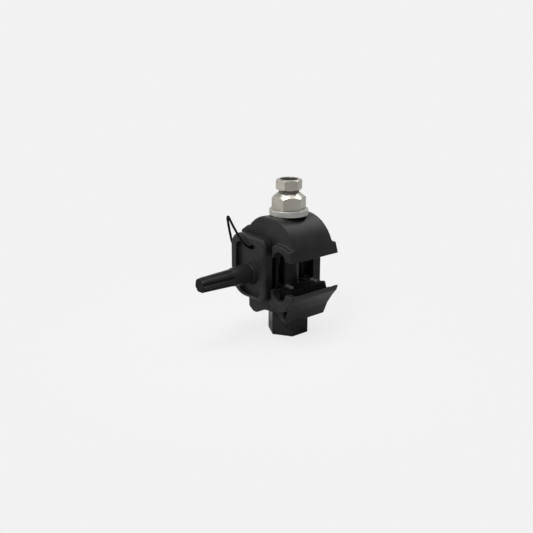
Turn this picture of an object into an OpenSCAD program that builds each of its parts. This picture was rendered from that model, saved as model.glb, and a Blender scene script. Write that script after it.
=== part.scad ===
// Insulation piercing connector with one clamping bolt, stored open as delivered.
// Millimetres. Z up along the bolt, conductors along Y, main channel on +X, tap channel on -X.
// The origin is on the bolt axis at the flat underside of the hexagonal boss.

/* [Clamp] */
// Distance the upper jaw comes down, ten turns of an M8 nut
travel = 12.5; // [10:0.25:13]
// Width across the flats of the boss under the lower jaw
boss_af = 21; // [20:0.25:23]
// Height of the boss below the lower jaw
boss_h = 9.4; // [8.4:0.1:11]

/* [Lower jaw] */
// Distance of the main wing's tip from the bolt axis
wing_x = 23.1; // [22.4:0.1:25]
// Length of both jaws along the main conductor
jaw_len = 35.4; // [34:0.2:38]
// Outside radius of the guide tower round the bolt
tower_r = 6.1; // [5.9:0.05:6.3]

/* [Upper jaw] */
// Radius of the domed top
dome_r = 21.4; // [20.8:0.1:22.4]
// Length of the dome along the conductors
dome_len = 29.8; // [29.4:0.1:31]
// Open height of the main channel between the lips
mouth_h = 18.8; // [18:0.1:21]

/* [Channels] */
// Radius of the main channel's arches
main_r = 5.2; // [4.6:0.1:5.3]
// Radius of the tap channel's arches, which close round the end cap's spigot
tap_r = 5.5; // [5:0.1:5.6]

/* [End cap] */
// Width of the cap's plate
plate_w = 30.2; // [29:0.1:32]
// Height of the cap's plate
plate_h = 36.8; // [35:0.1:39]
// Thickness of the cap's plate
plate_t = 5.8; // [5:0.1:7]
// Length of the nose in front of the plate
nose_len = 36; // [32:0.5:40]
// Radius of the nose at its root
nose_root_r = 5.9; // [5.6:0.1:6.1]
// Radius of the nose at its tip
nose_tip_r = 4.3; // [4:0.1:4.6]

/* [Shear nut] */
// Diameter of the load washer
washer_d = 22; // [20:0.5:24]
// Thickness of the load washer
washer_t = 3.3; // [2.5:0.1:4]

/* [Hidden] */
$fn = 96;

black = [0.13, 0.13, 0.14];
rubber = [0.07, 0.07, 0.075];
soft = [0.17, 0.17, 0.18];
tin = [0.78, 0.77, 0.74];
zinc = [0.62, 0.61, 0.58];
eps = 0.01;

// Levels of the two jaws at rest
main_lo_z = boss_h + 20.1;
main_hi_z = main_lo_z + mouth_h;
tap_z = boss_h + 26.4;
tap_hi_z = tap_z + travel;
dome_z = main_hi_z;
dome_tilt = 2.6;
seat_z = dome_z + dome_r - 0.2;

// Channel axes and the free sizes between parts
main_x = 11.4;
tap_x = -12;
split_x = 4.05;
jaw_y = jaw_len / 2;
dome_y = dome_len / 2;
socket_gap = 0.3;
face_gap = 0.3;
spigot_gap = 0.08;
jaw_stop = 1.5;

// M8 bolt with a 13 mm hexagon head, and the nut that shears above its 17 mm hexagon
thread_r = 4;
thread_gap = 0.05;
hole_r = 4.4;
head_af = 13;
head_gap = 0.15;
head_z = 1.4;
head_h = 5.3;
bolt_len = 75;
nut_af = 17;
nut_side_h = 6.6;
nut_cone_h = 2.6;
neck_r = 5.8;
neck_h = 1.6;
shear_af = 13;
shear_h = 6;
shear_bore_r = 5;
nut_z = seat_z + washer_t;
cone_z = nut_z + nut_side_h;
neck_z = cone_z + nut_cone_h;
shear_z = neck_z + neck_h;
nut_top = shear_z + shear_h;

// Guide tower, guide legs of the upper jaw as [first Y, second Y, last X], and the rear post
tower_top = main_hi_z + 1.4;
socket_top = tower_top + travel + 0.8;
leg_x0 = -6;
legs = [[-13.7, -11.3, 5], [11.3, 13.7, -1]];
post_x0 = -6.3;
post_x1 = split_x - 0.45;
post_len = 7.7;
post_step = 1.5;
leg_z = main_lo_z - 0.6;
leg_groove = 1.2;
leg_lip = 0.8;
slot_z = leg_z - travel - 0.6;

// Front of the main half: the ring collar, and below it the round rib that braces it to the boss
collar_t = 3;
collar_ring_r = 11;
rib_x0 = 7.4;
rib_x1 = 11.9;
rib_r = 13.3;
rib_y = collar_t + rib_r - jaw_y;
rib_z = boss_h + 8.2;

// Contact blades and seals
blade_y = 9.5;
blade_t = 2.4;
bar_x = 14.2;
main_seal_top = main_lo_z + 1.5;
tap_seal_top = tap_z - 3.7;
main_tip = main_lo_z + 2.4;
tap_tip = tap_z - 2.2;
main_tip_hi = main_lo_z + 3 + travel + jaw_stop;
tap_tip_hi = tap_tip + travel + jaw_stop;
bar_lo = boss_h + 8.6;
bar_hi = main_hi_z + 9.6;
pocket_lo = boss_h + 13.1;
tap_pocket_lo = boss_h + 17.6;
pocket_hi = main_hi_z + 6.2;
tap_pocket_hi = tap_hi_z + 6.4;
pocket_y = 14.1;
tap_pocket_y = 12.3;

// End cap
plate_x1 = split_x - 0.55;
plate_x0 = plate_x1 - plate_w;
plate_z0 = boss_h + 12.1;
plate_z1 = plate_z0 + plate_h;
plate_back = -dome_y - face_gap;
plate_front = plate_back - plate_t;
panel_y = plate_front + 2.6;
spigot_r = tap_r - spigot_gap;
spigot_len = 2.3;
bore_r = 3.7;
ring_r = 6.9;
ring_front_r = 6.2;
ring_t = 2;
front_share = 0.64;
front_len = nose_len * front_share;
nose_mid_r = nose_tip_r + (nose_root_r - nose_tip_r) * front_share;
nose_step = 0.3;
tip_edge = 0.6;
flute_n = 7;
flute_r = 2;
flute_depth = 0.8;
flute_turn = 24;
flute_len = nose_len * 0.57;

// Tether: a loop of round cord from the panel, up to the left and down to the plate's left edge.
// The last number of each point is how far it follows the plate's left edge.
cord_r = 0.7;
cord_sides = 8;
cord_dy = plate_front + 21;
cord_dz = boss_h - 9.4;
cord_hole_r = 1.2;
cord_hole_depth = 1.4;
cord_route = [
    [-10.5, -17, 51.2, 0], [-10.5, -18.4, 51.2, 0], [-10.6, -19.6, 51.3, 0], [-11.2, -20.9, 52, 0],
    [-12.5, -21.9, 53.2, 0],
    [-14.4, -22.5, 55.1, 0], [-16.6, -22.8, 57.3, 0], [-18.9, -22.9, 59.5, 0.2], [-21.2, -22.8, 61.6, 0.4],
    [-23.4, -22.6, 63.6, 0.6], [-25.2, -22.3, 65.2, 0.8], [-26.6, -22, 66.2, 1], [-27.7, -21.7, 66.4, 1],
    [-28.5, -21.4, 65.7, 1], [-28.8, -21.1, 64.3, 1], [-28.8, -20.7, 62, 1], [-28.7, -20.3, 59.6, 1],
    [-28.6, -19.9, 57.2, 1], [-28.5, -19.4, 54.8, 1], [-28.5, -18.9, 52.6, 1], [-28.3, -18.6, 51.1, 1],
    [-27.7, -18.5, 50.2, 1], [-26.7, -18.5, 49.9, 1]];

function cord_point(p) = [p[0] + p[3] * (plate_x0 + 26.7), p[1] + cord_dy, p[2] + cord_dz];
cord_points = [for (p = cord_route) cord_point(p)];

function unit(v) = v / norm(v);
function cord_tangent(i) =
    i == 0 ? [0, -1, 0]
    : i == len(cord_points) - 1 ? [1, 0, 0]
    : unit(cord_points[i + 1] - cord_points[i - 1]);
function cord_side(t) = unit(cross(t, [0.15, 0.6, 0.78]));
function cord_ring(i) =
    let (t = cord_tangent(i), u = cord_side(t), v = cross(t, u))
    [for (k = [0 : cord_sides - 1])
        cord_points[i] + cord_r * (cos(360 * k / cord_sides) * u + sin(360 * k / cord_sides) * v)];
cord_verts = [for (i = [0 : len(cord_points) - 1]) each cord_ring(i)];
cord_walls = [for (i = [0 : len(cord_points) - 2], k = [0 : cord_sides - 1])
    [i * cord_sides + k, (i + 1) * cord_sides + k,
     (i + 1) * cord_sides + (k + 1) % cord_sides, i * cord_sides + (k + 1) % cord_sides]];
cord_start = [for (k = [0 : cord_sides - 1]) k];
cord_end = [for (k = [cord_sides - 1 : -1 : 0]) (len(cord_points) - 1) * cord_sides + k];

// A profile drawn in X and Z, extruded along Y about the middle of the connector
module along_y(l) {
    rotate([90, 0, 0]) linear_extrude(l, center = true) children();
}

// The same profile between two Y positions
module between_y(y0, y1) {
    translate([0, y1, 0]) rotate([90, 0, 0]) linear_extrude(y1 - y0) children();
}

// Round bar along Y, through everything
module bar_y(x, z, r) {
    translate([x, 0, z]) rotate([90, 0, 0]) cylinder(r = r, h = 80, center = true);
}

// Hexagonal prism with flats facing X
module hex(af, h) {
    rotate([0, 0, 30]) cylinder(r = af / sqrt(3), h = h, $fn = 6);
}

// Rectangle with four corner radii, from the lower left corner anticlockwise
module round_rect(x0, z0, x1, z1, r) {
    difference() {
        translate([x0, z0]) square([x1 - x0, z1 - z0]);
        corner(x0, z0, 1, 1, r[0]);
        corner(x1, z0, -1, 1, r[1]);
        corner(x1, z1, -1, -1, r[2]);
        corner(x0, z1, 1, -1, r[3]);
    }
}

// What a corner radius takes away
module corner(x, z, sx, sz, r) {
    translate([x, z]) mirror([sx < 0 ? 1 : 0, 0]) mirror([0, sz < 0 ? 1 : 0])
        difference() {
            translate([-1, -1]) square([r + 1, r + 1]);
            translate([r, r]) circle(r = r);
        }
}

// Slots for both blades of one jaw
module blade_slots(z0, z1, half) {
    for (s = [-1, 1])
        translate([-half, s * blade_y - blade_t / 2, z0]) cube([2 * half, blade_t, z1 - z0]);
}

// Outline of the lower jaw on the main side
module lower_main_outline() {
    polygon([[split_x, boss_h + 5.6], [rib_x0, boss_h + 5.6], [rib_x0, boss_h], [11.8, boss_h],
        [14.9, boss_h + 7.3], [18.3, boss_h + 12.4], [wing_x - 1.1, boss_h + 17], [wing_x, main_lo_z],
        [split_x, main_lo_z]]);
}

// Outline of the lower jaw on the tap side, with the middle web
module lower_tap_outline() {
    polygon([[split_x, boss_h + 5.6], [-0.7, boss_h + 5.6], [-4.4, boss_h + 5], [-7.1, boss_h + 3.7],
        [-10.9, boss_h + 1.8], [-13.7, boss_h + 1.6], [-17.6, boss_h + 4.1], [-17.7, boss_h + 9.4],
        [-18.8, boss_h + 12.4], [-22.4, boss_h + 17.4], [-23.2, tap_z - 0.3], [-6.9, tap_z - 0.3],
        [-6.9, main_lo_z], [split_x, main_lo_z]]);
}

// Recess under the rear main collar, which leaves the wing standing as a plate
module rear_recess() {
    difference() {
        polygon([[8.2, boss_h - 1], [8.8, boss_h - 1], [9.4, boss_h], [12.6, boss_h + 7.3],
            [16, boss_h + 12.4], [16, boss_h + 14], [8.2, boss_h + 14]]);
        translate([main_x + 0.4, main_lo_z]) circle(r = 9.2);
    }
}

// What is set back below the ring of the front main collar
module below_ring() {
    difference() {
        translate([split_x - 1, boss_h - 1]) square([30, 12.5]);
        translate([main_x + 0.4, main_lo_z]) circle(r = collar_ring_r);
    }
}

// Pocket between the front rib and the skin of the wing
module skin_pocket() {
    difference() {
        polygon([[rib_x1, boss_h + 3], [rib_x1 + 0.5, boss_h + 3], [14, boss_h + 7.3],
            [15.6, boss_h + 9.8], [15.6, boss_h + 13], [rib_x1, boss_h + 13]]);
        translate([main_x + 0.4, main_lo_z]) circle(r = collar_ring_r);
    }
}

// Rounding of the main half's lower front, which the rib carries on below
module front_corner() {
    difference() {
        translate([split_x - 1, -jaw_y - 1, boss_h - 1])
            cube([30, rib_y + jaw_y + 1, rib_z - boss_h + 1]);
        translate([split_x - 2, rib_y, rib_z]) rotate([0, 90, 0]) cylinder(r = rib_r, h = 40);
    }
}

// The rib's lower end, on the face of the boss
module front_rib() {
    intersection() {
        translate([rib_x0, rib_y, rib_z]) rotate([0, 90, 0])
            cylinder(r = rib_r, h = boss_af / 2 - 0.1 - rib_x0);
        translate([0, -40, rib_z - 13]) cube([40, 35, 12]);
    }
}

// Plan of the guide legs between the two channels, grown by a gap for their slots
module leg_plan(gap) {
    for (l = legs)
        translate([leg_x0 - gap, l[0] - gap]) square([l[2] - leg_x0 + 2 * gap, l[1] - l[0] + 2 * gap]);
}

module lower_body() color(black) difference() {
    union() {
        hex(boss_af, boss_h + 6);
        difference() {
            along_y(jaw_len) lower_main_outline();
            between_y(-jaw_y - 1, -jaw_y + collar_t) below_ring();
            between_y(-jaw_y - 1, -jaw_y + 2 * collar_t) skin_pocket();
            between_y(jaw_y - collar_t, jaw_y + 1) rear_recess();
            front_corner();
        }
        front_rib();
        along_y(dome_len) lower_tap_outline();
        translate([post_x0, dome_y - 1, boss_h + 5.6])
            cube([post_x1 - post_x0, post_len + 1, main_lo_z - boss_h - 5.6]);
        translate([post_x0, dome_y + post_step, main_lo_z - 1])
            cube([post_x1 - post_x0, post_len - post_step, main_hi_z - main_lo_z]);
        cylinder(r = tower_r, h = tower_top);
    }
    translate([0, 0, -1]) hex(head_af + 2 * head_gap, head_z + head_h + 1);
    translate([0, 0, -1]) cylinder(r = hole_r, h = tower_top + 2);
    bar_y(main_x, main_lo_z, main_r);
    bar_y(tap_x, tap_z, tap_r);
    between_y(-pocket_y, pocket_y)
        polygon([[8, pocket_lo], [15, pocket_lo], [wing_x - 0.8, main_lo_z + 0.2],
            [wing_x - 0.8, main_lo_z + 9], [8, main_lo_z + 9]]);
    between_y(pocket_y - 1, jaw_y + 1)
        polygon([[16, main_lo_z - 3.9], [wing_x - 0.8, main_lo_z + 0.2], [wing_x - 0.8, main_lo_z + 9],
            [16, main_lo_z + 9]]);
    between_y(-tap_pocket_y, tap_pocket_y)
        polygon([[-8, tap_pocket_lo], [-15.5, tap_pocket_lo], [-21, tap_z], [-21, tap_z + 5],
            [-8, tap_z + 5]]);
    blade_slots(bar_lo, bar_lo + 4.2, bar_x);
    blade_slots(bar_lo + 4, tap_z + 5, bar_x);
    translate([0, 0, slot_z]) linear_extrude(60) leg_plan(face_gap);
}

// Main collar and lip of the upper jaw, as one arch from the left edge given
module upper_collar_outline(x0) {
    difference() {
        union() {
            translate([main_x + 1.8, main_hi_z - 0.5]) circle(r = 8.2);
            round_rect(x0, main_hi_z, main_x + 1.8, main_hi_z + 7.7, [0.1, 0.1, 0.1, 2.5]);
            polygon([[16, main_hi_z], [22.4, main_hi_z], [20.3, main_hi_z + 6.3], [16, main_hi_z + 6.3]]);
        }
        translate([0, main_hi_z - 20]) square([40, 20]);
    }
}

// Tap shoulder beside the dome
module tap_shoulder_outline() {
    polygon([[-10, main_hi_z + 14], [-18.4, main_hi_z + 14], [-24, main_hi_z + 10.2],
        [-24.2, main_hi_z], [-10, main_hi_z]]);
}

module upper_body() color(black) difference() {
    union() {
        intersection() {
            translate([0, 0, dome_z]) rotate([90 - dome_tilt, 0, 0])
                cylinder(r = dome_r, h = 60, center = true);
            translate([-30, -dome_y, main_hi_z]) cube([60, dome_len, seat_z - main_hi_z]);
        }
        along_y(dome_len) tap_shoulder_outline();
        between_y(-jaw_y, 0) upper_collar_outline(5.4);
        between_y(-eps, jaw_y) upper_collar_outline(split_x + 0.05);
        translate([0, 0, leg_z]) linear_extrude(main_hi_z - leg_z + 5) leg_plan(0);
    }
    translate([leg_x0 + 1, legs[0][0] - 1, leg_z - 1])
        cube([legs[0][2] - leg_lip - leg_x0 - 1, 1 + leg_groove, main_hi_z - leg_z + 1]);
    translate([0, 0, main_hi_z - 1])
        cylinder(r = tower_r + socket_gap, h = socket_top - main_hi_z + 1);
    cylinder(r = hole_r, h = 100);
    bar_y(main_x, main_hi_z - 1.2, main_r);
    translate([-40, -40, main_hi_z - 10]) cube([40 - 6.9, 80, tap_hi_z + 0.2 - main_hi_z + 10]);
    bar_y(tap_x, tap_hi_z, tap_r);
    translate([8, -pocket_y, main_hi_z - 2]) cube([10.6, 2 * pocket_y, pocket_hi - main_hi_z + 2]);
    translate([-19.6, -tap_pocket_y, tap_hi_z - 2])
        cube([11.6, 2 * tap_pocket_y, tap_pocket_hi - tap_hi_z + 2]);
    blade_slots(main_hi_z - 2, bar_hi, bar_x + 2);
}

module clamp_bolt() color(zinc) {
    difference() {
        translate([0, 0, head_z]) hex(head_af, head_h);
        translate([0, 0, head_z - 1]) difference() {
            cylinder(r = 12, h = 1.8);
            translate([0, 0, 0.6]) cylinder(r1 = 6.2, r2 = 8.6, h = 1.4);
        }
    }
    translate([0, 0, head_z + head_h - 1]) cylinder(r = thread_r, h = bolt_len);
    translate([0, 0, head_z + head_h - 1 + bolt_len]) cylinder(r1 = thread_r, r2 = 3.2, h = 1);
}

module shear_nut() color(zinc) difference() {
    union() {
        intersection() {
            translate([0, 0, nut_z]) rotate([0, 0, 29]) hex(nut_af, nut_side_h + nut_cone_h);
            translate([0, 0, nut_z]) cylinder(r = nut_af, h = nut_side_h + nut_cone_h);
            union() {
                translate([0, 0, nut_z]) cylinder(r = 11, h = nut_side_h - 1.2);
                translate([0, 0, cone_z - 1.2])
                    cylinder(r1 = 11, r2 = neck_r + 0.3, h = nut_cone_h + 1.2);
            }
        }
        translate([0, 0, neck_z - 0.5]) cylinder(r = neck_r, h = neck_h + 0.5 + eps);
        intersection() {
            translate([0, 0, shear_z]) rotate([0, 0, 29]) hex(shear_af, shear_h);
            union() {
                translate([0, 0, shear_z]) cylinder(r1 = 6.3, r2 = 8, h = 0.9);
                translate([0, 0, shear_z + 0.9]) cylinder(r = 8, h = shear_h - 1.8);
                translate([0, 0, nut_top - 0.9]) cylinder(r1 = 8, r2 = 6.2, h = 0.9);
            }
        }
    }
    translate([0, 0, nut_z - 1]) cylinder(r = thread_r + thread_gap, h = 30);
    translate([0, 0, neck_z - 0.6]) cylinder(r = shear_bore_r, h = 30);
}

module load_washer() color(tin) translate([0, 0, seat_z]) difference() {
    cylinder(r = washer_d / 2, h = washer_t);
    translate([0, 0, -1]) cylinder(r = hole_r, h = washer_t + 2);
}

// Comb of piercing teeth on a shank, between two X positions
module comb(x0, x1, foot, root, tip, n) {
    step = (x1 - x0) / n;
    line = concat([[x0, foot], [x0, root]],
        [for (i = [0 : n - 1]) each [[x0 + (i + 0.5) * step, tip], [x0 + (i + 1) * step, root]]],
        [[x1, foot]]);
    polygon(tip > root ? [for (i = [len(line) - 1 : -1 : 0]) line[i]] : line);
}

module lower_blade_outline() {
    translate([-bar_x, bar_lo]) square([2 * bar_x, 4.2]);
    comb(8.7, bar_x - 0.3, bar_lo + 1, main_seal_top - 0.9, main_tip, 3);
    comb(0.3 - bar_x, -8.8, bar_lo + 1, tap_seal_top - 0.9, tap_tip, 3);
}

module upper_blade_outline() {
    translate([-bar_x - 2, bar_hi - 4.2]) square([2 * bar_x + 4, 4.2]);
    comb(8.7, bar_x - 0.3, bar_hi - 1, main_tip_hi + 2.4, main_tip_hi, 3);
    comb(0.3 - bar_x, -8.8, bar_hi - 1, tap_tip_hi + 2.4, tap_tip_hi, 3);
}

module upper_contact_front() color(tin)
    between_y(-blade_y - blade_t / 2, -blade_y + blade_t / 2) upper_blade_outline();

module upper_contact_rear() color(tin)
    between_y(blade_y - blade_t / 2, blade_y + blade_t / 2) upper_blade_outline();

module lower_contact_front() color(tin)
    between_y(-blade_y - blade_t / 2, -blade_y + blade_t / 2) lower_blade_outline();

module lower_contact_rear() color(tin)
    between_y(blade_y - blade_t / 2, blade_y + blade_t / 2) lower_blade_outline();

module lower_main_seal() color(rubber) difference() {
    between_y(-pocket_y + 0.5, pocket_y - 0.5)
        polygon([[8, pocket_lo], [15, pocket_lo], [18.2, pocket_lo + 4], [16.6, main_seal_top],
            [8, main_seal_top]]);
    bar_y(main_x + 0.3, main_seal_top + 9.2, 9.8);
    blade_slots(bar_lo, main_tip + 1, bar_x);
}

module lower_tap_seal() color(rubber) difference() {
    between_y(-tap_pocket_y, tap_pocket_y)
        polygon([[-8, tap_pocket_lo], [-15.5, tap_pocket_lo], [-18, tap_pocket_lo + 4.5],
            [-17, tap_seal_top], [-8, tap_seal_top]]);
    bar_y(tap_x, tap_z, 4.2);
    blade_slots(bar_lo, tap_tip + 1, bar_x);
}

module upper_main_seal() color(rubber) difference() {
    translate([8, -pocket_y, main_hi_z - 0.6]) cube([10.6, 2 * pocket_y, pocket_hi - main_hi_z + 0.6]);
    bar_y(main_x, main_hi_z - 1.8, main_r);
    blade_slots(main_tip_hi - 1, bar_hi, bar_x + 2);
}

module upper_tap_seal() color(rubber) difference() {
    translate([-19.6, -tap_pocket_y, tap_hi_z + 0.9])
        cube([11.6, 2 * tap_pocket_y, tap_pocket_hi - tap_hi_z - 0.9]);
    bar_y(tap_x, tap_hi_z - 0.8, 4);
    blade_slots(tap_tip_hi - 1, bar_hi, bar_x + 2);
}

// One flute of the nose: a long round groove that follows the taper
module flute(a) {
    slope = atan((nose_root_r - nose_tip_r) / nose_len);
    rotate([0, a, 0]) translate([0, -nose_len - 2, nose_tip_r + flute_r - flute_depth])
        rotate([slope, 0, 0]) rotate([-90, 0, 0]) union() {
            cylinder(r = flute_r, h = 2 + flute_len, $fn = 32);
            translate([0, 0, 2 + flute_len]) sphere(r = flute_r, $fn = 32);
        }
}

// The nose before it is fluted: smooth root, a small step, and the slimmer front with its edge broken
module nose() {
    translate([0, eps, 0]) rotate([90, 0, 0])
        cylinder(r1 = nose_root_r, r2 = nose_mid_r, h = nose_len - front_len + eps);
    translate([0, front_len - nose_len + eps, 0]) rotate([90, 0, 0])
        cylinder(r1 = nose_mid_r - nose_step, r2 = nose_tip_r, h = front_len - tip_edge + eps);
    translate([0, tip_edge - nose_len, 0]) rotate([90, 0, 0])
        cylinder(r1 = nose_tip_r, r2 = nose_tip_r - tip_edge * 0.8, h = tip_edge);
}

module end_cap() color(soft) difference() {
    union() {
        difference() {
            between_y(plate_front, plate_back)
                round_rect(plate_x0, plate_z0, plate_x1, plate_z1, [12, 4, 5, 8]);
            between_y(plate_front - 1, panel_y)
                round_rect(plate_x0 + 5, plate_z0 + 2.2, plate_x1 - 4.5, plate_z1 - 4.6, [9, 3, 6, 4]);
        }
        translate([tap_x, panel_y + eps, tap_z]) rotate([90, 0, 0])
            cylinder(r1 = ring_r, r2 = ring_front_r, h = ring_t);
        translate([tap_x, panel_y, tap_z]) nose();
        translate([tap_x, plate_back + spigot_len, tap_z]) rotate([90, 0, 0])
            cylinder(r = spigot_r, h = spigot_len + plate_t / 2);
    }
    translate([tap_x, panel_y, tap_z]) for (i = [0 : flute_n - 1]) flute(i * 360 / flute_n + flute_turn);
    translate([tap_x, plate_back + spigot_len + 1, tap_z]) rotate([90, 0, 0])
        cylinder(r = bore_r, h = spigot_len + 1 + plate_t - 2.6 + nose_len * 0.45);
    translate([tap_x, panel_y - nose_len * 0.45 + eps, tap_z]) rotate([90, 0, 0])
        cylinder(r1 = bore_r, r2 = 2.6, h = nose_len * 0.5);
    translate([cord_points[0][0], panel_y + cord_hole_depth, cord_points[0][2]]) rotate([90, 0, 0])
        cylinder(r = cord_hole_r, h = cord_hole_depth + 1, $fn = 32);
}

module tether_cord() color(rubber) polyhedron(points = cord_verts,
    faces = concat(cord_walls, [cord_start], [cord_end]), convexity = 6);

lower_body();
upper_body();
clamp_bolt();
shear_nut();
load_washer();
upper_contact_front();
upper_contact_rear();
lower_contact_front();
lower_contact_rear();
upper_main_seal();
upper_tap_seal();
lower_main_seal();
lower_tap_seal();
end_cap();
tether_cord();
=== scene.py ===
# %% [markdown]
# # An insulation piercing connector, dressed for its picture
#
# The connector joins a branch cable to a live overhead cable without stripping either.
# Two moulded jaws close on one bolt, and toothed blades bite through the insulation.
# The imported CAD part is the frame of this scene: every piece below takes its place from it.

import math

import bmesh
import bpy
import numpy as np
from mathutils import Matrix, Vector


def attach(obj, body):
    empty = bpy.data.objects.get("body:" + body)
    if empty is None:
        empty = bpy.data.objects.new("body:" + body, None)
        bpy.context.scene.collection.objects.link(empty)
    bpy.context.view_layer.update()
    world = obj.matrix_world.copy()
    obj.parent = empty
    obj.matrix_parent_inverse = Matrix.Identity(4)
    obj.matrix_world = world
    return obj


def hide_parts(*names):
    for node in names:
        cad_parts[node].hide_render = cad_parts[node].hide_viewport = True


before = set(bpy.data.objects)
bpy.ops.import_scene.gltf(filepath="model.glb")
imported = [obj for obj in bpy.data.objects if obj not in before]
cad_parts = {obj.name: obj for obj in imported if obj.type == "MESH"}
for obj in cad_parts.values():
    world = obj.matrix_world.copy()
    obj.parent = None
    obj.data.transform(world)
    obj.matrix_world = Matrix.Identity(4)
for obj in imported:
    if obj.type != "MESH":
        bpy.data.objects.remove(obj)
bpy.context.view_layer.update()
scene = bpy.context.scene
MM = 0.001

# %% [markdown]
# ## The camera
#
# The picture is taken from the right and a little above, with a long lens, so that the upright
# edges of the boss stay almost parallel. A camera could be aimed with a constraint. Here its three
# axes are worked out from the two angles, because the angles are what was measured.

# %% Camera
AZIMUTH, ELEVATION = math.radians(49), math.radians(17)
EYE = Vector((312.06, -287.86, 168.34)) * MM
FOCAL_PX, IMAGE_PX, SENSOR_MM = 772.5, 533, 36
CLIP_START, CLIP_END = 0.01, 20

level = math.cos(ELEVATION)
back = Vector((math.sin(AZIMUTH) * level, -math.cos(AZIMUTH) * level, math.sin(ELEVATION)))
right = Vector((math.cos(AZIMUTH), math.sin(AZIMUTH), 0))
up = back.cross(right)

lens = bpy.data.cameras.new("picture_camera")
lens.sensor_width = SENSOR_MM
lens.lens = SENSOR_MM * FOCAL_PX / IMAGE_PX
lens.clip_start, lens.clip_end = CLIP_START, CLIP_END
camera = bpy.data.objects.new("picture_camera", lens)
camera.matrix_world = Matrix.Translation(EYE) @ Matrix((right, up, back)).transposed().to_4x4()
scene.collection.objects.link(camera)
scene.camera = camera
print("lens", round(lens.lens, 2), "mm")

# %% [markdown]
# ## Meshes from arrays
#
# A surface is easiest to think of as a sheet of graph paper: two numbers pick a point on the paper
# and a formula says where that point sits in space. The helpers below turn such a grid of points
# into faces. Each row of the grid closes on itself, as the rings of a tube do.

# %% Grid helpers
SAME_POINT = 0.002 * MM


def around(sides):
    """One row of angles that go once round in equal steps."""
    return np.linspace(0, 2 * np.pi, sides, endpoint=False)[None, :]


def polar(radius, angle, height):
    """Grid of points (radius cos angle, radius sin angle, height)."""
    return np.stack(np.broadcast_arrays(radius * np.cos(angle), radius * np.sin(angle), height), -1)


def welded(mesh):
    """Working copy of a mesh in which points at the same place are one point."""
    shape = bmesh.new()
    shape.from_mesh(mesh)
    bmesh.ops.remove_doubles(shape, verts=shape.verts, dist=SAME_POINT)
    return shape


def surface(name, points):
    """Mesh of a grid of points: rows run along the piece and columns run round it. Each face joins
    four neighbours, the last column joins the first, and a row that is one point becomes a pole."""
    rows, columns = points.shape[:2]
    ids = np.arange(rows * columns).reshape(rows, columns)
    ids = np.concatenate([ids, ids[:, :1]], axis=1)
    faces = np.stack([ids[:-1, :-1], ids[:-1, 1:], ids[1:, 1:], ids[1:, :-1]], -1).reshape(-1, 4)
    mesh = bpy.data.meshes.new(name)
    mesh.from_pydata(points.reshape(-1, 3).tolist(), [], faces.tolist())
    shape = welded(mesh)
    shape.to_mesh(mesh)
    shape.free()
    return mesh


def placed(name, mesh):
    """A new object at the origin that shows the mesh with smooth shading."""
    mesh.polygons.foreach_set("use_smooth", np.ones(len(mesh.polygons), bool))
    piece = bpy.data.objects.new(name, mesh)
    scene.collection.objects.link(piece)
    return piece


print("grid helpers ready")

# %% [markdown]
# ## The tether
#
# A thin loop of stiff cord is moulded to the rubber cap, so that the cap stays with the connector.
# It leaves a hole in the face of the plate, climbs to a sharp turn beside the dome and comes back
# to the plate's left edge. A Blender curve with a round bevel would do. A circle carried along a
# smooth path gives the same tube as plain faces, and the path is measured on the way.

# %% Tether route and tube
TETHER_RADIUS = 0.7 * MM
TETHER_STEPS, TETHER_SIDES = 169, 20
TETHER_REFERENCE = np.array([0.15, 0.6, 0.78])  # a direction in which the cord never runs
TETHER_ROUTE = np.array([
    [-10.5, -17.0, 51.2], [-10.5, -18.4, 51.2], [-10.6, -19.6, 51.3], [-11.2, -20.9, 52.0],
    [-12.5, -21.9, 53.2], [-14.4, -22.5, 55.1], [-16.6, -22.8, 57.3], [-18.9, -22.9, 59.5],
    [-21.2, -22.8, 61.6], [-23.4, -22.6, 63.6], [-25.2, -22.3, 65.2], [-26.6, -22.0, 66.2],
    [-27.7, -21.7, 66.4], [-28.5, -21.4, 65.7], [-28.8, -21.1, 64.3], [-28.8, -20.7, 62.0],
    [-28.7, -20.3, 59.6], [-28.6, -19.9, 57.2], [-28.5, -19.4, 54.8], [-28.5, -18.9, 52.6],
    [-28.3, -18.6, 51.1], [-27.7, -18.5, 50.2], [-26.7, -18.5, 49.9]]) * MM


def smooth_path(points, steps):
    """Catmull-Rom curve: between two points it is the cubic whose slopes are half the
    difference of the neighbours, sampled at equal parameter steps."""
    padded = np.concatenate([2 * points[:1] - points[1:2], points, 2 * points[-1:] - points[-2:-1]])
    t = np.linspace(0, len(points) - 1, steps)
    i = np.minimum(t.astype(int), len(points) - 2)
    f = (t - i)[:, None]
    a, b, c, d = (padded[i + k] for k in range(4))
    return 0.5 * (2 * b + (c - a) * f + (2 * a - 5 * b + 4 * c - d) * f**2
                  + (3 * b - a - 3 * c + d) * f**3)


def tube(path, radius, sides, reference):
    """Circle of the radius carried along the path: side = path direction x reference,
    and point = path + radius (cos u side + sin u (direction x side))."""
    along = np.gradient(path, axis=0)
    along /= np.linalg.norm(along, axis=1, keepdims=True)
    side = np.cross(along, reference)
    side /= np.linalg.norm(side, axis=1, keepdims=True)
    other = np.cross(along, side)
    u = around(sides)[..., None]
    return path[:, None] + radius * (np.cos(u) * side[:, None] + np.sin(u) * other[:, None])


tether_path = smooth_path(TETHER_ROUTE, TETHER_STEPS)
tether_grid = tube(tether_path, TETHER_RADIUS, TETHER_SIDES, TETHER_REFERENCE)
poles = np.repeat(tether_path[[0, -1], None], TETHER_SIDES, axis=1)
tether = placed("tether", surface("tether", np.concatenate([poles[:1], tether_grid, poles[1:]])))
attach(tether, "cap")
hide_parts("tether_cord")

# %% [markdown]
# ## Sums on shader sockets
#
# A material is a network of nodes, and arithmetic on it takes many Math nodes. Wrapping a socket in
# a small class lets the arithmetic be written as Python sums: each operator adds one node. Colours
# go through a Mix node instead, because a Math node would turn them grey.

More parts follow.
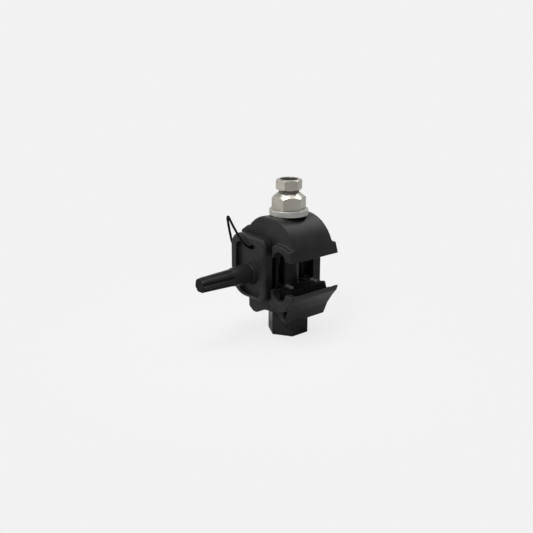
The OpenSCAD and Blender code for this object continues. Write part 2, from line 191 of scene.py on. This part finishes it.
# %% Wires
class Wire:
    """A shader socket with operators, so that 1 - mask or 0.2 * noise adds Math nodes."""

    def __init__(self, finish, socket):
        self.finish, self.socket = finish, socket

    def _math(self, operation, first, second):
        return self.finish.node("ShaderNodeMath", {"operation": operation}, {0: first, 1: second})

    def __add__(self, other):
        return self._math("ADD", self, other)

    def __sub__(self, other):
        return self._math("SUBTRACT", self, other)

    def __rsub__(self, other):
        return self._math("SUBTRACT", other, self)

    def __mul__(self, other):
        return self._math("MULTIPLY", self, other)

    __radd__, __rmul__ = __add__, __mul__

    def between(self, low, high):
        """0 below low, 1 above high and a smooth rise between them."""
        return self.finish.node("ShaderNodeMapRange", {"interpolation_type": "SMOOTHSTEP"},
                                {0: self, 1: low, 2: high, 3: 0.0, 4: 1.0})

    def window(self, low, high, edge):
        """1 from low to high and 0 outside, with smooth edges of that width on the inside."""
        return self.between(low, low + edge) * (1 - self.between(high - edge, high))

    def swing(self, width):
        """A pattern from 0 to 1 made to swing about 0, with that full width."""
        return width * (self - 0.5)


print("wire operators ready")


# %% Finishes
class Finish:
    """A material under construction, with one method that adds any node."""

    def __init__(self, name, tree=None):
        if tree is None:
            self.material = bpy.data.materials.new(name)
            self.material.use_nodes = True
            tree = self.material.node_tree
        self.tree = tree
        self.tree.nodes.clear()

    def node(self, kind, settings=None, inputs=None, output=0):
        """Adds a node of that kind, makes its settings, then fills its sockets with numbers,
        colours or wires, and returns the chosen output as a wire."""
        made = self.tree.nodes.new(kind)
        for key, value in (settings or {}).items():
            setattr(made, key, value)
        for key, value in (inputs or {}).items():
            if isinstance(value, Wire):
                self.tree.links.new(value.socket, made.inputs[key])
            else:
                made.inputs[key].default_value = value
        return Wire(self, made.outputs[output]) if made.outputs else None

    def place(self, scale=(1, 1, 1), shift=(0, 0, 0)):
        """Object coordinates in millimetres, stretched by the three factors and then shifted."""
        where = self.node("ShaderNodeTexCoord", output="Object")
        return self.node("ShaderNodeMapping", None, {"Vector": where, "Location": shift,
                                                    "Scale": [s / MM for s in scale]})

    def axis(self, name):
        """The X, Y or Z coordinate in millimetres."""
        return self.node("ShaderNodeSeparateXYZ", None, {0: self.place()}, name)

    def length(self, vector):
        """Length of a vector wire."""
        return self.node("ShaderNodeVectorMath", {"operation": "LENGTH"}, {0: vector}, "Value")

    def noise(self, size, detail, stretch=(1, 1, 1)):
        """Cloudy pattern from 0 to 1 whose blobs are about that many millimetres wide."""
        return self.node("ShaderNodeTexNoise", None, {"Vector": self.place(stretch),
                                                     "Scale": 1 / size, "Detail": detail})

    def mix(self, share, first, second):
        """Colour that goes from the first to the second as the share goes from 0 to 1."""
        return self.node("ShaderNodeMix", {"data_type": "RGBA"}, {0: share, 6: first, 7: second}, 2)

    def bump(self, height, depth_mm, strength):
        """Normal tilted by a height pattern of that depth."""
        return self.node("ShaderNodeBump", None, {"Height": height, "Distance": depth_mm * MM,
                                                 "Strength": strength})

    def shade(self, **sockets):
        """Principled surface with those sockets, joined to the output. Returns the material."""
        body = self.node("ShaderNodeBsdfPrincipled", None,
                         {key.replace("_", " "): value for key, value in sockets.items()})
        self.node("ShaderNodeOutputMaterial", None, {"Surface": body})
        return self.material


def rgb(r, g, b):
    """Opaque colour of a socket from three linear values."""
    return (r, g, b, 1.0)


def grey(value):
    """Opaque neutral colour of one linear value."""
    return rgb(value, value, value)


print("shader kit ready, for example mid grey", grey(0.5))

# %% [markdown] Painted shade
# ## Dark places
#
# Three places on the connector get painted shade, so they render darker than the rest of their
# piece: the flutes and the end of the cap's nose, the front guide leg inside the mouth, and the neck
# of the nut under the shear hexagon. An image could be painted for them. A mask worked out from the
# coordinates has no image to carry along, follows the measures of the CAD part and stays on its piece
# in every pose.

# %% Masks
NOSE_X, NOSE_Z, NOSE_TIP_Y = -12.0, 35.8, -54.4
NOSE_TIP_RADIUS, NOSE_TAPER = 4.3, 1.6 / 36
FLUTE_LOW, FLUTE_HIGH = 0.3, 0.7
LEG_BOX, LEG_EDGE = ((-6.6, 5.4), (-14.1, -10.9), (26.0, 55.0)), 0.3
NECK_LOW, NECK_HIGH, NECK_EDGE = 81.9, 83.7, 0.2


def nose_painted_shade(f):
    """Painted shade in the flutes and on the end face of the cap's nose: 1 there and 0 elsewhere; a
    point counts by how far it lies under the cone of the nose, whose radius grows with the distance
    from the tip."""
    radius = f.length(f.place((1, 0, 1), (-NOSE_X, 0, -NOSE_Z)))
    skin = NOSE_TIP_RADIUS + NOSE_TAPER * (f.axis("Y") - NOSE_TIP_Y)
    return (skin - radius).between(FLUTE_LOW, FLUTE_HIGH)


def leg_painted_shade(f):
    """Painted shade on the front guide leg of the upper jaw, which sits behind the cap's plate and
    the
    collar: 1 there and 0 elsewhere, the product of three windows, one along each axis."""
    x, y, z = (f.axis(name).window(low, high, LEG_EDGE) for name, (low, high) in zip("XYZ", LEG_BOX))
    return x * y * z


def neck_painted_shade(f):
    """Painted shade on the nut's neck under the shear hexagon: 1 between its two heights, and 0 above
    and below it.
    """
    return f.axis("Z").window(NECK_LOW, NECK_HIGH, NECK_EDGE)


print("masks", [mask.__name__ for mask in (nose_painted_shade, leg_painted_shade, neck_painted_shade)])

# %% [markdown]
# ## Moulded black polymer
#
# The jaws are glass-filled polyamide: almost black, satin, with a faint cloudiness where the melt
# flowed and a fine spark-eroded grain from the mould. One noise makes the clouds, one the fibres
# near the skin and one the grain, which only tilts the surface. The same recipe with other numbers
# gives the rubber of the cap and the tether and, with a coarse and deep grain, the lumpy seals.

# %% Polymer and rubber finishes
CLOUD_MM, FIBRE_MM, FIBRE_STRETCH = 9.0, 0.5, (1, 0.35, 1)
PATCH_LOW, PATCH_HIGH = 0.3, 0.7  # the part of a noise that goes from one colour to the other
CLOUD_SHARE, GRAIN_SHARE, GRAIN_STRENGTH = 0.65, 0.7, 0.6  # the fibres have what the shares leave
CLOUD_ROUGH, FIBRE_ROUGH = 0.10, 0.12
# Painted shade: the near-black colour, and the extra roughness, where a shade mask is 1
PAINTED_SHADE_BLACK, SHADE_MASK_ROUGH = grey(0.0015), 0.3


def moulded(name, dark, pale, rough, specular, grain_mm=0.22, grain_depth=0.02, painted_shade_mask=None):
    """Colour = dark to pale by clouds and fibres; roughness rises a little with both;
    the grain and the fibres together make the bump. Where the shade mask is 1, painted shade makes
    the colour darker, and the surface is duller."""
    f = Finish(name)
    clouds = f.noise(CLOUD_MM, detail=4.0)
    fibres = f.noise(FIBRE_MM, detail=2.0, stretch=FIBRE_STRETCH)
    grain = f.noise(grain_mm, detail=1.0)
    share = CLOUD_SHARE * clouds.between(PATCH_LOW, PATCH_HIGH) + (1 - CLOUD_SHARE) * fibres
    colour = f.mix(share, dark, pale)
    roughness = rough + (clouds.swing(CLOUD_ROUGH) + fibres.swing(FIBRE_ROUGH))
    if painted_shade_mask:
        mask = painted_shade_mask(f)
        # painted shade: near-black colour where the mask is 1
        colour = f.mix(mask, colour, PAINTED_SHADE_BLACK)
        roughness = roughness + SHADE_MASK_ROUGH * mask
    height = GRAIN_SHARE * grain + (1 - GRAIN_SHARE) * fibres
    return f.shade(Base_Color=colour, Roughness=roughness, Specular_IOR_Level=specular,
                   Normal=f.bump(height, grain_depth, GRAIN_STRENGTH))


CHARCOAL, CHARCOAL_PALE = rgb(0.009, 0.009, 0.0091), rgb(0.015, 0.015, 0.0151)
jaw_polymer = moulded("jaw_polymer", CHARCOAL, CHARCOAL_PALE, rough=0.34, specular=0.10,
                      painted_shade_mask=leg_painted_shade)
cap_rubber = moulded("cap_rubber", CHARCOAL, CHARCOAL_PALE, rough=0.36, specular=0.10,
                     grain_mm=0.3, grain_depth=0.012, painted_shade_mask=nose_painted_shade)
tether_rubber = moulded("tether_rubber", grey(0.001), grey(0.002), rough=0.5, specular=0.03)
seal_rubber = moulded("seal_rubber", grey(0.001), grey(0.003), rough=0.5, specular=0.04,
                      grain_mm=0.9, grain_depth=0.25)
tether.data.materials.append(tether_rubber)
print("polymer finishes", [m.name for m in (jaw_polymer, cap_rubber, tether_rubber, seal_rubber)])

# %% [markdown]
# ## Metal
#
# The nut is turned and milled from bar, so fine rings run round it. The washer is duller, with a
# blasted zinc skin, and the teeth are tinned. A metal takes its look from what it mirrors, so the
# work here is in the roughness: streaks round the axis for the nut, small spots for the washer.

# %% Metal finishes
RING_STRETCH, PATINA_MM = 0.06, 6.0
RING_SHARE, SPOT_SHARE, PATINA_SHARE = 0.4, 0.25, 0.35
METAL_ROUGH, RING_BUMP, METAL_STRENGTH = 0.12, 0.6, 0.5
# Painted shade for the nut's neck: its dark colour and how much of the metal colour it covers
NECK_SHADE_COLOUR, NECK_SHADE_SHARE = rgb(0.03, 0.025, 0.022), 0.8


def machined(name, dull, bright, rough, ring_mm, spot_mm, depth_mm, painted_shade_band=None):
    """Colour = dull to bright by rings, spots and patina; the rings are noise squeezed along Z,
    so that they read as turning marks; rings and spots tilt the surface. Where the band mask is 1,
    painted shade makes the colour dark."""
    f = Finish(name)
    rings = f.noise(1.0, detail=2.0, stretch=(RING_STRETCH, RING_STRETCH, 1 / ring_mm))
    spots = f.noise(spot_mm, detail=3.0)
    patina = f.noise(PATINA_MM, detail=3.0)
    share = (RING_SHARE * rings + SPOT_SHARE * spots
             + PATINA_SHARE * patina.between(PATCH_LOW, PATCH_HIGH))
    colour = f.mix(share, dull, bright)
    if painted_shade_band:
        # painted shade: the band mask darkens the colour
        colour = f.mix(NECK_SHADE_SHARE * painted_shade_band(f), colour, NECK_SHADE_COLOUR)
    height = RING_BUMP * rings + (1 - RING_BUMP) * spots
    return f.shade(Base_Color=colour, Metallic=1.0,
                   Roughness=rough + (rings.swing(METAL_ROUGH) + patina.swing(METAL_ROUGH)),
                   Normal=f.bump(height, depth_mm, METAL_STRENGTH))


nut_alloy = machined("nut_alloy", rgb(0.25, 0.235, 0.21), rgb(0.33, 0.315, 0.28), rough=0.34,
                     ring_mm=0.12, spot_mm=0.3, depth_mm=0.010, painted_shade_band=neck_painted_shade)
washer_steel = machined("washer_steel", rgb(0.26, 0.255, 0.24), rgb(0.34, 0.335, 0.32), rough=0.5,
                        ring_mm=0.3, spot_mm=0.25, depth_mm=0.012)
bolt_steel = machined("bolt_steel", rgb(0.24, 0.23, 0.20), rgb(0.34, 0.33, 0.29), rough=0.36,
                      ring_mm=0.2, spot_mm=0.3, depth_mm=0.008)
contact_metal = machined("contact_metal", rgb(0.05, 0.05, 0.048), rgb(0.10, 0.097, 0.093), rough=0.42,
                         ring_mm=0.4, spot_mm=0.2, depth_mm=0.010)
print("metal finishes", [m.name for m in (nut_alloy, washer_steel, bolt_steel, contact_metal)])

# %% [markdown]
# ## Rounded edges
#
# No moulded or machined edge is knife sharp: a radius of a few tenths of a millimetre catches a thin
# line of light. The CAD solids have true edges, so each gets a copy whose flat faces are joined
# again and whose sharp edges are bevelled. The copy stands for the solid in the picture. The two
# jaws have edges that meet at every angle, where a bevel would fold over itself, so their copies
# get an even skin of small faces, smoothed until every edge is as round as a moulded one.

# %% Copies of the CAD pieces
FLAT_ANGLE = math.radians(0.4)


def copied(node, finish):
    """Copy of a CAD node with its doubles merged and its coplanar triangles joined."""
    shape = welded(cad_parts[node].data)
    bmesh.ops.dissolve_limit(shape, angle_limit=FLAT_ANGLE, verts=shape.verts, edges=shape.edges)
    shape.verts.index_update()
    points = [v.co[:] for v in shape.verts]
    faces = [[v.index for v in face.verts] for face in shape.faces]
    shape.free()
    mesh = bpy.data.meshes.new(node + "_rounded")
    mesh.from_pydata(points, [], faces)
    mesh.materials.append(finish)
    return placed(node + "_rounded", mesh)


print("faces up to", round(math.degrees(FLAT_ANGLE), 2), "degrees apart are joined")

# %% Bevelled edges
EDGE_ANGLE, EDGE_SEGMENTS = math.radians(32), 3

# Boxes, as two corners in millimetres, whose edges have another radius than the rest of their piece
SOFT_EDGES = {
    "end_cap": [
        ((-40, -21.1, 0), (10, -20.9, 90), 1.5),  # outer rim of the plate's face
        ((-22, -21.1, 23.5), (-0.8, -20.9, 54), 0.6),  # rim of the sunken panel in it
        ((-20, -60, 25), (-4, -21.5, 45), 0.08),  # nose and flutes
        ((-20, -21, 25), (-4, -16.2, 44), 0.3),  # ring at the root of the nose
    ],
}


def edge_radii(mesh, rules, plain_mm):
    """Radius of each sharp edge: the plain one, or that of the last box that holds both its ends.
    Edges that are not sharp get 0."""
    points, pairs = np.empty(len(mesh.vertices) * 3), np.empty(len(mesh.edges) * 2, int)
    mesh.vertices.foreach_get("co", points)
    mesh.edges.foreach_get("vertices", pairs)
    sharp = np.empty(len(mesh.edges), bool)
    mesh.attributes["sharp_edge"].data.foreach_get("value", sharp)
    ends = points.reshape(-1, 3)[pairs.reshape(-1, 2)] / MM
    radii = np.full(len(ends), plain_mm)
    for low, high, radius in rules:
        radii[((ends > low) & (ends < high)).all(axis=(1, 2))] = radius
    return radii * sharp


def bevelled(piece, rules, radius_mm):
    """Edges sharper than the edge angle become arcs of their radii, by a bevel with edge weights."""
    piece.data.set_sharp_from_angle(angle=EDGE_ANGLE)
    radii = edge_radii(piece.data, rules, radius_mm)
    weight = piece.data.attributes.new("bevel_weight_edge", "FLOAT", "EDGE")
    weight.data.foreach_set("value", radii / radii.max())
    bevel = piece.modifiers.new("edge_radius", "BEVEL")
    bevel.width, bevel.segments = radii.max() * MM, EDGE_SEGMENTS
    bevel.limit_method = "WEIGHT"
    bevel.use_clamp_overlap = bevel.loop_slide = False
    bevel.harden_normals = True


print("soft edges on", sorted(SOFT_EDGES))

# %% Smoothed skin
SKIN_FACE = 0.4 * MM
SKIN_PASSES, SKIN_FACTOR = 6, 0.5


def skinned(piece):
    """An even grid of faces over the whole shape, each point then moved half way to the mean of
    its neighbours a few times: flat faces stay flat and edges turn into arcs."""
    skin = piece.modifiers.new("even_skin", "REMESH")
    skin.mode, skin.voxel_size, skin.use_smooth_shade = "VOXEL", SKIN_FACE, True
    soft = piece.modifiers.new("soft_edges", "SMOOTH")
    soft.factor, soft.iterations = SKIN_FACTOR, SKIN_PASSES


print("skin of", round(SKIN_FACE / MM, 2), "mm faces")


# %% Rounded pieces
def rounded(node, finish, slot, body, radius_mm=None):
    """Rounded copy of a CAD node that rides on the node's body and replaces the node.
    Without a radius it gets the smoothed skin."""
    piece = copied(node, finish)
    if radius_mm is None:
        skinned(piece)
    else:
        bevelled(piece, SOFT_EDGES.get(node, []), radius_mm)
    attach(piece, body)
    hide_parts(node)
    print(node, "copied with", len(piece.data.polygons), "faces")


# Node, finish, slot, body and edge radius in millimetres
ROUNDED = [
    ("lower_body", jaw_polymer, "jaw_polymer", "lower"),
    ("upper_body", jaw_polymer, "jaw_polymer", "upper"),
    ("end_cap", cap_rubber, "cap_rubber", "cap", 0.3),
    ("shear_nut", nut_alloy, "nut_alloy", "nut", 0.07),
    ("load_washer", washer_steel, "washer_steel", "upper", 0.3),
    ("lower_main_seal", seal_rubber, "seal_rubber", "lower", 0.25),
    ("lower_tap_seal", seal_rubber, "seal_rubber", "lower", 0.25),
    ("upper_main_seal", seal_rubber, "seal_rubber", "upper", 0.25),
    ("upper_tap_seal", seal_rubber, "seal_rubber", "upper", 0.25),
    ("lower_contact_front", contact_metal, "contact_metal", "lower", 0.06),
    ("lower_contact_rear", contact_metal, "contact_metal", "lower", 0.06),
    ("upper_contact_front", contact_metal, "contact_metal", "upper", 0.06),
    ("upper_contact_rear", contact_metal, "contact_metal", "upper", 0.06),
]
for row in ROUNDED:
    rounded(*row)

# %% [markdown]
# ## The bolt and its thread
#
# The solid bolt has a plain shank, because a thread is too fine for CAD. In the picture a real M8
# thread shows inside the nut, and more of it when the jaws are closed. A thread is a polar surface:
# at each angle and height the radius dips by a ridge that climbs one pitch in a turn.

# %% Radius of the bolt
PITCH, MAJOR, DEPTH = 1.25, 4.0, 0.72
RIDGE_SLOPE, RIDGE_FLAT, RUN_OUT = 1.35, 0.15, 2.0
THREAD_LOW, THREAD_HIGH, BOLT_TOP = 44.0, 80.7, 81.7
HEAD_LOW, HEAD_HIGH, HEAD_FLATS = 1.4, 6.7, 13.0


def thread_radius(angle, height):
    """Major radius less a trapezoid ridge of the pitch, which fades out over the run-out below."""
    phase = np.mod(height / PITCH - angle / (2 * np.pi), 1)
    ridge = np.clip(np.abs(2 * phase - 1) * RIDGE_SLOPE - RIDGE_FLAT, 0, 1)
    fade = np.clip((height - THREAD_LOW) / RUN_OUT, 0, 1)
    return MAJOR - DEPTH * ridge * fade


def hexagon_radius(angle, flats):
    """Half the width over the cosine of the angle from the nearest flat."""
    return flats / 2 / np.cos(np.mod(angle + np.pi / 6, np.pi / 3) - np.pi / 6)


print("thread of", round((THREAD_HIGH - THREAD_LOW) / PITCH, 1), "turns")

# %% Bolt with a rolled thread
BOLT_SIDES, TURN_ROWS, TIP_ROWS = 96, 12, 8
TIP_RADIUS, TIP_SLOPE = 3.2, 0.8
BOLT_EDGE_ANGLE = math.radians(40)
UNCUT = HEAD_FLATS  # a circle so large that the hexagon stays whole

# Height, inset of the hexagon and radius of the circle that cuts it off, from the bottom up
HEAD = np.array([
    [HEAD_LOW, 0, 0], [HEAD_LOW, 0, 5.6], [HEAD_LOW, 0, 6.1], [HEAD_LOW + 0.35, 0, 6.7],
    [HEAD_LOW + 0.9, 0, UNCUT], [HEAD_HIGH - 0.1, 0, UNCUT], [HEAD_HIGH, 0.1, UNCUT],
    [HEAD_HIGH, 0, MAJOR], [THREAD_LOW - 1, 0, MAJOR]])

angle = around(BOLT_SIDES)
head = np.minimum(hexagon_radius(angle, HEAD_FLATS) - HEAD[:, 1:2], HEAD[:, 2:])
climb = np.arange(THREAD_LOW, THREAD_HIGH, PITCH / TURN_ROWS)[:, None]
rise = np.linspace(THREAD_HIGH, BOLT_TOP, TIP_ROWS)[:, None]
tip = np.minimum(thread_radius(angle, rise), TIP_RADIUS + TIP_SLOPE * (BOLT_TOP - rise))
radii = np.concatenate([head, thread_radius(angle, climb), tip, 0 * angle])
heights = np.concatenate([HEAD[:, :1], climb, rise, [[BOLT_TOP]]])
bolt = placed("bolt_threaded", surface("bolt_threaded", polar(radii, angle, heights) * MM))
bolt.data.set_sharp_from_angle(angle=BOLT_EDGE_ANGLE)
bolt.data.materials.append(bolt_steel)
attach(bolt, "lower")
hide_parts("clamp_bolt")
print("bolt faces", len(bolt.data.polygons))

# %% [markdown]
# ## Floor and light
#
# The picture has a plain pale ground with no horizon. The floor and the world show the same pale
# grey to the camera and to mirrors, and the floor keeps a little of its own shading near the boss,
# so that the connector stands on it. The light comes from four large soft panels.

# %% Floor
PALE, GROUND = grey(0.888), grey(0.6)
NEAR_GLOW, NEAR_MM, FAR_MM = 0.88, 30, 160
FLOOR_RADIUS, FLOOR_DROP = 2.0, 0.05 * MM
FLOOR_RINGS, FLOOR_SIDES = 33, 64


def ray_is(f, kind):
    """1 for rays of that kind, such as those of the camera or of a mirror, and 0 for others."""
    return f.node("ShaderNodeLightPath", output="Is " + kind + " Ray")


def pale_floor():
    """Plain diffuse ground under its own pale glow. The camera sees the glow almost alone, mirrors
    see it away from the part and the shaded ground close to it, and light meets the ground."""
    f = Finish("pale_floor")
    away = f.length(f.place()).between(NEAR_MM, FAR_MM)
    mirrored = ray_is(f, "Glossy") + ray_is(f, "Transmission")
    cover = ray_is(f, "Camera") * (NEAR_GLOW + (1 - NEAR_GLOW) * away) + mirrored * away
    ground = f.node("ShaderNodeBsdfDiffuse", None, {"Color": GROUND})
    glow = f.node("ShaderNodeEmission", None, {"Color": PALE, "Strength": 1.0})
    both = f.node("ShaderNodeMixShader", None, {0: cover, 1: ground, 2: glow})
    f.node("ShaderNodeOutputMaterial", None, {"Surface": both})
    return f.material


# Rings that grow with the square of their number, so that the floor is finest near the part
rings = FLOOR_RADIUS * np.linspace(0, 1, FLOOR_RINGS)[:, None] ** 2
floor = placed("floor", surface("floor", polar(rings, around(FLOOR_SIDES), -FLOOR_DROP)))
floor.data.materials.append(pale_floor())
print("floor radius", FLOOR_RADIUS, "m")

# %% World
ROOM_LIGHT = 0.08

world = bpy.data.worlds.new("pale_room")
scene.world = world
world.use_nodes = True
sky = Finish("pale_room", world.node_tree)
room = sky.node("ShaderNodeBackground", None, {"Color": grey(1.0), "Strength": ROOM_LIGHT})
view = sky.node("ShaderNodeBackground", None, {"Color": PALE, "Strength": 1.0})
seen = ray_is(sky, "Camera") + ray_is(sky, "Glossy") + ray_is(sky, "Transmission")
joined = sky.node("ShaderNodeMixShader", None, {0: seen, 1: room, 2: view})
sky.node("ShaderNodeOutputWorld", None, {"Surface": joined})
print("world", world.name, "gives", ROOM_LIGHT)

# %% Panels
AIM = Vector((0, -5, 45))


def panel(name, place, edge_mm, watts):
    """Square soft light at a place in millimetres, facing the aim."""
    lamp = bpy.data.lights.new(name, "AREA")
    lamp.shape, lamp.size, lamp.energy = "SQUARE", edge_mm * MM, watts
    light = bpy.data.objects.new(name, lamp)
    away = (Vector(place) - AIM).normalized()
    turned = away.to_track_quat("Z", "Y").to_matrix().to_4x4()
    light.matrix_world = Matrix.Translation(Vector(place) * MM) @ turned
    scene.collection.objects.link(light)


panel("overhead_panel", (-80, -90, 660), edge_mm=260, watts=2.4)
panel("rear_panel", (20, 300, 590), edge_mm=440, watts=2.5)
panel("front_panel", (120, -450, 480), edge_mm=220, watts=3.2)
panel("left_panel", (-460, -440, 200), edge_mm=620, watts=2.6)
scene.view_settings.view_transform = "Standard"
